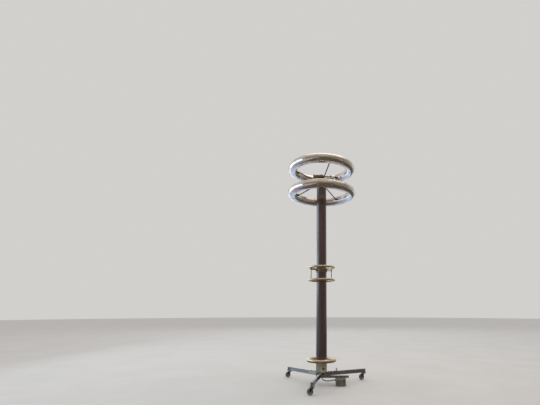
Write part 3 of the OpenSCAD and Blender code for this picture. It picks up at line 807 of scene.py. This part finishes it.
def joint_packing():
    """Thin packing ring in the bolted joint, proud of the flanges' rims, and screws in both rims."""
    half = 0.0025
    bm = bmesh.new()
    outline = [
        (0.139, JOINT_Z - half), (0.1445, JOINT_Z - 0.0018), (0.1449, JOINT_Z),
        (0.1445, JOINT_Z + 0.0018), (0.139, JOINT_Z + half),
    ]
    turned_ring(bm, outline, COLUMN, 96)
    for z in (JOINT_Z - 0.009, JOINT_Z + 0.009):
        radial_screws(bm, FLANGE_R - 0.0005, around(8, FLANGE_FIRST), z, 0.0045, 0.0035)
    finish_piece("joint_packing", bm, "joint_cast")


def tube_lips():
    """Varnish bead where each tube enters its collar."""
    bm = bmesh.new()
    for flange_z, way in FLANGES:
        z = flange_z + 0.042 * way
        outline = [
            (0.1245, z - 0.001 * way), (0.1325, z - 0.001 * way),
            (0.1305, z + 0.0025 * way), (0.1245, z + 0.007 * way),
        ]
        turned_ring(bm, outline, COLUMN, 96)
    finish_piece("tube_sealing_lips", bm, "tube")


def rod_ferrules():
    """Turned sleeves where arms and upright rods meet the rings, flanges and collars."""
    sleeve = [(0.0075, 0), (0.0125, 0), (0.0135, 0.0012), (0.0135, 0.010), (0.0105, 0.016), (0.0075, 0.016)]
    cross = [
        (0.0075, -0.013), (0.0135, -0.012), (0.0145, -0.01), (0.0145, 0.01), (0.0135, 0.012), (0.0075, 0.013),
    ]
    bm = bmesh.new()

    def fit(outline, radius, z, facing):
        turned_ring(bm, outline, aim(polar(radius, degrees, z), facing), 28)

    for degrees in FOOT_ARM_ANGLES:
        out = polar(1, degrees)
        fit(sleeve, COLLAR_R - 0.001, FOOT_ARM_Z, out)
        fit(sleeve, 0.267, FOOT_ARM_Z, -out)
    for degrees in JOINT_ARM_ANGLES:
        out = polar(1, degrees)
        fit(sleeve, FLANGE_R - 0.001, JOINT_ARM_Z, out)
        fit(sleeve, JOINT_RING_R, 2.5675, DOWN)
        fit(sleeve, JOINT_RING_R, 2.3185, UP)
        fit(cross, JOINT_RING_R, JOINT_ARM_Z, UP)
        hex_head(bm, aim(polar(JOINT_RING_R + 0.0135, degrees, JOINT_ARM_Z), out), 0.013, 0.008)
    finish_piece("rod_ferrules", bm, "steel")


# Pedestal


def pedestal_welds():
    bm = bmesh.new()
    weld_bead(bm, circle(PEDESTAL_R + 0.0005, 0.251), 0.0042, True)
    weld_bead(bm, circle(PEDESTAL_R + 0.0005, PEDESTAL_TOP - 0.001), 0.0034, True)
    finish_piece("pedestal_welds", bm, "pedestal")


def connector_fittings():
    """Socket's flange ring and its screws, and the corner bolts of the connector block."""
    facing = polar(1, SOCKET_ANGLE)
    face = aim(polar(SOCKET_FACE_R, SOCKET_ANGLE, SOCKET_Z), facing)
    up = face.inverted().to_3x3() @ UP
    side = up.cross(UP)
    flange = [
        (0.0262, -0.004), (0.0325, 0), (0.0345, 0.0006), (0.0345, 0.0036), (0.033, 0.005), (0.0275, 0.005),
    ]
    bm = bmesh.new()
    turned_ring(bm, flange, face)
    for degrees in around(4, 45):
        socket_screw(bm, aim(face @ polar(0.0305, degrees, 0.005), facing), 0.0024, 0.0022)
    for along in (-0.049, 0.049):
        for rise in (-0.07, 0.034):
            bolt(bm, aim(face @ (side * along + up * rise), facing, 9), 0.010)
    finish_piece("connector_fittings", bm, "zinc")


def connector_pins():
    """Contact pins in their insulating disc, at the bottom of the signal socket."""
    facing = polar(1, SOCKET_ANGLE)
    base = aim(polar(SOCKET_FACE_R - SOCKET_DEPTH, SOCKET_ANGLE, SOCKET_Z), facing)
    bm = bmesh.new()
    for degrees in around(5, 18):
        pin = aim(base @ polar(0.012, degrees, 0), facing)
        turned(bm, [(0.002, -0.001), (0.002, 0.014), (0.0012, 0.0165)], pin, 16)
    turned(bm, [(0.003, -0.001), (0.003, 0.016), (0.002, 0.018)], base, 20)
    finish_piece("connector_pins", bm, "contact")
    bm = bmesh.new()
    turned(bm, [(0.0255, -0.0005), (0.0255, 0.004), (0.023, 0.005), (0.004, 0.005)], base, 48)
    finish_piece("connector_insulator", bm, "bakelite")


# Base


def leg_welds(leg):
    """Beads at the leg's root, along its castor pad, at the hub plate's rim and at the root plate's end."""

    def bead(a, b, radius):
        weld_bead(bm, line(on_leg(LEGS[leg], *a), on_leg(LEGS[leg], *b)), radius)

    bm = bmesh.new()
    root = HUB_FLAT + 0.0005
    rim = HUB_PLATE_R + 0.001
    plate_end = ROOT_REACH + 0.0005
    for across in (-LEG_HALF - 0.0005, LEG_HALF + 0.0005):
        bead((root, across, LEG_UNDER + 0.002), (root, across, LEG_TOP - 0.002), 0.0035)
        pad_z = LEG_UNDER + 0.0004
        bead((CASTOR_REACH - 0.054, across, pad_z), (CASTOR_REACH + 0.054, across, pad_z), 0.003)
    bead((rim, -0.021, LEG_TOP), (rim, 0.021, LEG_TOP), 0.003)
    bead((plate_end, 0.0205, LEG_UNDER + 0.010), (plate_end, 0.0205, LEG_TOP - 0.010), 0.0028)
    finish_piece(f"leg_welds_{leg}", bm, "frame" if leg == "right" else leg)


def leg_bolts():
    """Bolts in each leg's top flange near the root, and screws in its root plate."""
    bm = bmesh.new()
    for degrees in LEGS.values():
        for along in (0.19, 0.245, 0.33):
            bolt(bm, aim(on_leg(degrees, along, 0, LEG_TOP), UP, degrees), 0.017, 0.003)
        for along in (0.17, 0.34):
            seat = on_leg(degrees, along, LEG_HALF - 0.0002, 0.222)
            socket_screw(bm, aim(seat, polar(1, degrees + 90)), 0.005, 0.004)
    finish_piece("leg_bolts", bm, "steel")


def pad_bolts():
    """Four bolts through each castor pad, heads on top and nuts under the castor's plate."""
    bm = bmesh.new()
    for degrees in LEGS.values():
        for along in (-0.038, 0.038):
            for across in (-0.033, 0.033):
                head = on_leg(degrees, CASTOR_REACH + along, across, LEG_UNDER)
                nut = on_leg(degrees, CASTOR_REACH + along, across, CASTOR_PLATE_UNDER)
                bolt(bm, aim(head, UP, degrees), 0.013)
                bolt(bm, aim(nut, DOWN, degrees + 20), 0.013, 0.003)
    finish_piece("pad_bolts", bm, "zinc")


def castor_fittings(leg):
    """Dust ring under the race, axle nuts and a grease nipple: they swivel with the castor."""
    bm = bmesh.new()
    for side in (-1, 1):
        out = Vector((0, side, 0))
        cap = aim(castor_axle(leg) + out * 0.0322, out, 13)
        hex_head(bm, cap, 0.0165, 0.006)
        turned(bm, [(0.0052, 0.004), (0.0052, 0.0085), (0.004, 0.0095)], cap, 20)
    crown = aim(castor_pivot(leg) + Vector((0, 0, 0.1353)), UP)
    dust_ring = [
        (0.0322, -0.005), (0.0345, -0.0045), (0.0345, -0.0008), (0.0335, -0.0002), (0.0322, -0.0002),
    ]
    turned_ring(bm, dust_ring, crown, 56)
    nipple = aim(castor_pivot(leg) + Vector((0.0315, 0, 0.1265)), (1, 0, 0.35))
    profile = [
        (0.0035, -0.002), (0.0035, 0.003), (0.0018, 0.0038),
        (0.0018, 0.006), (0.0026, 0.0068), (0.002, 0.009),
    ]
    turned(bm, profile, nipple, 16)
    finish_piece(f"castor_fittings_{leg}", bm, "steel", f"castor_{leg}")


def wheel_ribs(leg):
    """Ribs of the moulded wheel core on both its faces, between the boss and the rim."""
    axle = castor_axle(leg)
    # Distance from the axle, height of the rib's crest and half its width
    sections = ((0.0135, 0.019, 0.0022), (0.026, 0.0125, 0.0018), (0.043, 0.0135, 0.0016))
    foot = 0.0045
    bm = bmesh.new()
    for side in (-1, 1):
        for k in range(8):
            a = TURN * (k + 0.5) / 8
            out = Vector((math.cos(a), 0, math.sin(a)))
            across = Vector((-math.sin(a), 0, math.cos(a)))
            rings = []
            for r, crest, half in sections:
                low = axle + out * r + Vector((0, side * foot, 0))
                high = axle + out * r + Vector((0, side * crest, 0))
                rings.append([
                    low - across * half, low + across * half,
                    high + across * half * 0.6, high - across * half * 0.6,
                ])
            loft(bm, rings)
    finish_piece(f"wheel_ribs_{leg}", bm, "wheel", f"wheel_{leg}")


def tyre_rings(leg):
    """Two raised rings on each side of the tyre."""
    half = 0.0009
    place = aim(castor_axle(leg), (0, 1, 0))
    bm = bmesh.new()
    for side in (-1, 1):
        y = 0.0171 * side
        for r in (0.0515, 0.056):
            outline = [(r - half, y - 0.0006 * side), (r, y + 0.0006 * side), (r + half, y - 0.0006 * side)]
            turned_ring(bm, outline, place, 72)
    finish_piece(f"tyre_rings_{leg}", bm, "tyre", f"wheel_{leg}")


# Side gear


def box_latch(bm, x):
    """Toggle latch on the box's front, with its wire loop over the lid's rim."""
    place = aim(Vector((x, -0.297, 0.098)), FRONT)
    bevelled_block(bm, (0.026, 0.036, 0.0028), place, 0.0008)
    bevelled_block(bm, (0.018, 0.022, 0.006), place @ Matrix.Translation((0, 0, 0.002)), 0.0012)
    low = Vector((x, -0.3015, 0.112))
    high = Vector((x, -0.3025, 0.132))
    half = Vector((0.008, 0, 0))
    swept(bm, [low - half, high - half, high + half, low + half], 0.0014, 8)


def box_hinge(bm, x):
    """Knuckles of a hinge along the lid's back edge."""
    pitch = 0.008
    for k in range(5):
        start = Vector((x - 0.02 + pitch * k, -0.1135, 0.1305))
        swept(bm, [start, start + Vector((0.0072, 0, 0))], 0.0032, 14)


def box_fittings():
    """Latches, hinges and lid screws of the measuring box."""
    bm = bmesh.new()
    for x in (0.36, 0.482):
        box_latch(bm, x)
    for x in (0.35, 0.492):
        box_hinge(bm, x)
    for x in (0.326, 0.421, 0.516):
        for y in (-0.286, -0.128):
            socket_screw(bm, aim(Vector((x, y, 0.1428)), UP), 0.0035, 0.0022)
    finish_piece("box_fittings", bm, "steel")


def strap_bolts():
    """Two bolts from each strap into the arm, and one into the lid."""
    bm = bmesh.new()
    for x in (0.378, 0.464):
        for dx in (-0.0088, 0.0088):
            bolt(bm, aim(Vector((x + dx, -0.236, 0.184)), FRONT, 12), 0.010)
        bolt(bm, aim(Vector((x, -0.2215, 0.147)), UP, 12), 0.010)
    finish_piece("strap_bolts", bm, "steel")


def arm_welds():
    """Bead where the box arm meets the front leg's root plate."""
    lean = math.radians(LEGS["front"] - 270)
    root_y = -0.2322
    root_x = 0.0232 / math.cos(lean) - root_y * math.tan(lean)
    bm = bmesh.new()
    weld_bead(bm, line(Vector((root_x, root_y, 0.162)), Vector((root_x, root_y, 0.209))), 0.0032)
    finish_piece("arm_welds", bm, "frame")


def earth_terminal():
    """Lock nut, wing nut and bevelled end of the earth post."""
    bm = bmesh.new()
    post = Matrix.Translation(polar(0.388, LEGS["right"], LEG_TOP))
    hex_head(bm, post, 0.026, 0.009, 0.008)
    wing_nut(bm, post @ Matrix.Rotation(0.5, 4, "Z") @ Matrix.Translation((0, 0, 0.0392)), 0.0125)
    turned(bm, [(0.007, 0.05), (0.007, 0.0535), (0.0055, 0.055)], post, 24)
    finish_piece("earth_terminal", bm, "zinc")


def smooth_route(points):
    """Smooth curve through points."""
    steps = 8
    route = []
    last = len(points) - 1
    for i in range(last):
        a, b, c, d = (points[max(0, min(last, i + k))] for k in (-1, 0, 1, 2))
        square = 2 * a - 5 * b + 4 * c - d
        cube = 3 * b - a - 3 * c + d
        for s in range(steps):
            t = s / steps
            route.append(0.5 * (2 * b + (c - a) * t + square * t ** 2 + cube * t ** 3))
    return route + [points[-1]]


def signal_lead():
    """Lead from the hub's gland to the box's gland, held at both ends."""
    points = (
        (0.014, -0.062, 0.1515), (0.014, -0.062, 0.144), (0.015, -0.064, 0.12), (0.046, -0.096, 0.094),
        (0.107, -0.148, 0.086), (0.18, -0.19, 0.094), (0.25, BOX_ARM_Y, 0.11), (0.296, BOX_ARM_Y, 0.112),
        (0.3035, BOX_ARM_Y, 0.112),
    )
    bm = bmesh.new()
    swept(bm, smooth_route([Vector(p) for p in points]), 0.009, 20)
    lead = finish_piece("signal_lead_tube", bm, "rubber", smooth=60)
    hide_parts("signal_lead")


def gland_nuts():
    """Domed nuts that squeeze the lead in both glands."""
    dome = [(0.0142, 0), (0.0142, 0.006), (0.013, 0.0095), (0.0102, 0.0115)]
    bm = bmesh.new()
    for spot, along in (((0.014, -0.062, 0.1445), DOWN), ((0.2965, BOX_ARM_Y, 0.112), (-1, 0, 0))):
        turned(bm, dome, aim(Vector(spot), along), 30)
    finish_piece("gland_nuts", bm, "nylon")


# Studio


def stage_sheet(name, outline, finish):
    """Flat sheet inside an outline of points."""
    bm = bmesh.new()
    bm.faces.new([bm.verts.new(p) for p in outline])
    sheet = new_object(name, bm, finish)
    return sheet


def stage_floor():
    """Wide pale floor."""
    radius = 70
    finish, tree, shader = new_finish("studio_floor", Roughness=1.0, Specular_IOR_Level=0.0)
    tone = use(tree, "tone", Light=(0.80, 0.785, 0.77), Dark=(0.77, 0.755, 0.735), Scale=0.7, Balance=0.5)
    plug(tree, shader, "Base Color", tone.outputs[0])
    stage_sheet("studio_floor", [polar(radius, degrees) for degrees in around(96)], finish)


def show_in_gloss_only(obj):
    """Leaves a card or lamp in reflections alone, so that it neither lights nor shades the set."""
    obj.visible_camera = False
    obj.visible_diffuse = False
    obj.visible_shadow = False
    obj.visible_transmission = False


def floor_card(name, outline, finish):
    """Card just above the floor that only shows in polished metal."""
    card_z = 0.004
    show_in_gloss_only(stage_sheet(name, [Vector((x, y, card_z)) for x, y in outline], finish))


def floor_cards():
    """Dark card round the stand and to its right, a painted shade of a dark hall in reflections; glowing pale
    card behind it and to its left, a painted reflection of a window-lit floor.
    """
    # Dark card: painted shade of a dark hall, seen only in reflections
    dark, tree, shader = new_finish("dark_card", Roughness=0.9)
    tone = use(tree, "tone", Light=(0.22, 0.18, 0.11), Dark=(0.04, 0.028, 0.018), Scale=0.5, Balance=0.52)
    plug(tree, shader, "Base Color", tone.outputs[0])
    floor_card("dark_card", ((-5, -60), (22, -60), (22, 30), (6, 30), (2.6, 2), (-5, 2)), dark)
    # Pale card: a glowing sheet, no lamp, that paints a window-lit floor into reflections
    pale, tree, shader = new_finish(
        "glowing_reflection_card", Base_Color=(0, 0, 0), Specular_IOR_Level=0.0, Emission_Strength=1.0)
    away = spread(tree, split(tree, place_of(tree))["Y"], 1.0, 13.0)
    tone = use(tree, "tone", Light=(0.72, 0.86, 1.06), Dark=(0.5, 0.6, 0.77), Scale=0.5, Balance=0.5)
    plug(tree, shader, "Emission Color", mixed(tree, away, (0.36, 0.35, 0.42), tone.outputs[0]))
    floor_card("glowing_reflection_card", ((-30, -8), (-5, -8), (-5, 2), (2.6, 2), (6, 30), (-30, 30)), pale)


def softbox(name, place, target, size, power, tint):
    """Soft area lamp aimed at a point."""
    lamp = bpy.data.lights.new(name, "AREA")
    lamp.shape = "RECTANGLE"
    lamp.size, lamp.size_y = size
    lamp.energy = power
    lamp.color = tint
    holder = bpy.data.objects.new(name, lamp)
    holder.location = place
    holder.rotation_mode = "QUATERNION"
    holder.rotation_quaternion = (Vector(target) - Vector(place)).to_track_quat("-Z", "Y")
    scene.collection.objects.link(holder)
    return holder


def window(name, middle, facing, pane, gap, radiance, tint):
    """Upright bank of softboxes with bars of dark between them, like the panes of a tall window."""
    columns = 5
    rows = 2
    panes = []
    side = Vector((-facing[1], facing[0], 0)).normalized()
    for i in range(columns):
        for k in range(rows):
            shift = side * (i - (columns - 1) / 2) * (pane[0] + gap)
            rise = Vector((0, 0, (k - (rows - 1) / 2) * (pane[1] + gap)))
            spot = Vector(middle) + shift + rise
            power = radiance * math.pi * pane[0] * pane[1]
            panes.append(softbox(f"{name}_{i}_{k}", spot, spot + Vector(facing), pane, power, tint))
    return panes


def studio_lamps():
    """Cool window banks at the left and far behind, softbox behind and a warm one above."""
    cool = (0.68, 0.84, 1.0)
    window("window_left", (-11.0, 1.5, 5.2), (1, 0, 0.35), (2.6, 2.8), 0.4, 1.7, cool)
    cool = (0.7, 0.85, 1.0)
    for pane in window("window_back", (-7.5, 15.0, 3.7), (0.35, -0.94, 0), (2.5, 2.4), 0.45, 0.9, cool):
        show_in_gloss_only(pane)
    back_box = softbox("back", (0, 20.0, 14.0), (0, 0, 1.0), (20.0, 6.0), 600, (0.9, 0.95, 1.0))
    back_box.visible_glossy = False
    softbox("ceiling", (1.5, 2.0, 12.0), (0.4, 0.4, 3.0), (8.0, 6.0), 175, (1.0, 0.9, 0.78))


def studio_room():
    """Plain pale room for the camera, with a darker near side and a warm ceiling for glossy rays."""
    pale = (0.64, 0.63, 0.61)
    near = (0.27, 0.23, 0.2)
    near_low = (0.075, 0.062, 0.04)
    ceiling = (0.62, 0.54, 0.46)
    fill = (0.6, 0.59, 0.58)
    world = bpy.data.worlds.new("studio")
    scene.world = world
    world.use_nodes = True
    tree = world.node_tree
    apart = split(tree, add(tree, "TexCoord").outputs["Generated"])
    path = add(tree, "LightPath").outputs
    turn = maths(tree, "MULTIPLY_ADD", apart["X"], -0.35, apart["Y"])
    not_gloss = maths(tree, "SUBTRACT", 1.0, path["Is Glossy Ray"])
    far = maths(tree, "MAXIMUM", spread(tree, turn, -0.4, 0.6), not_gloss)
    low = spread(tree, apart["Z"], 0.09, 0.01)
    wall = mixed(tree, far, mixed(tree, low, near, near_low), pale)
    overhead = times(tree, spread(tree, apart["Z"], 0.3, 0.95), path["Is Glossy Ray"])
    room = mixed(tree, overhead, wall, ceiling)
    seen = maths(tree, "MAXIMUM", path["Is Camera Ray"], path["Is Glossy Ray"])
    seen = maths(tree, "MAXIMUM", seen, path["Is Transmission Ray"])
    plug(tree, tree.nodes["Background"], "Color", mixed(tree, seen, fill, room))


def camera():
    """Camera at the photograph's own place, tilted up, with a small shift for its framing."""
    tilt_up = 15.67
    data = bpy.data.cameras.new("camera")
    data.sensor_width = 36
    data.lens = 22.91
    data.shift_x = -0.0953
    data.shift_y = 0.02
    data.clip_end = 300
    holder = bpy.data.objects.new("camera", data)
    holder.location = (0, -8.46, 1.6)
    holder.rotation_euler = (math.radians(90 + tilt_up), 0, 0)
    scene.collection.objects.link(holder)
    scene.camera = holder


camera()
dress_cad_nodes()
all_ring_beads()
spoke_nuts()
spoke_sleeves()
foot_bands()
spider_fittings()
barrel_fittings()
eye_bolt()
column_bolts()
collar_screws()
joint_packing()
tube_lips()
rod_ferrules()
pedestal_welds()
connector_fittings()
connector_pins()
for leg_name in LEGS:
    leg_welds(leg_name)
    castor_fittings(leg_name)
    wheel_ribs(leg_name)
    tyre_rings(leg_name)
leg_bolts()
pad_bolts()
box_fittings()
strap_bolts()
arm_welds()
earth_terminal()
signal_lead()
gland_nuts()
stage_floor()
floor_cards()
studio_lamps()
studio_room()
scene.view_settings.view_transform = "Standard"
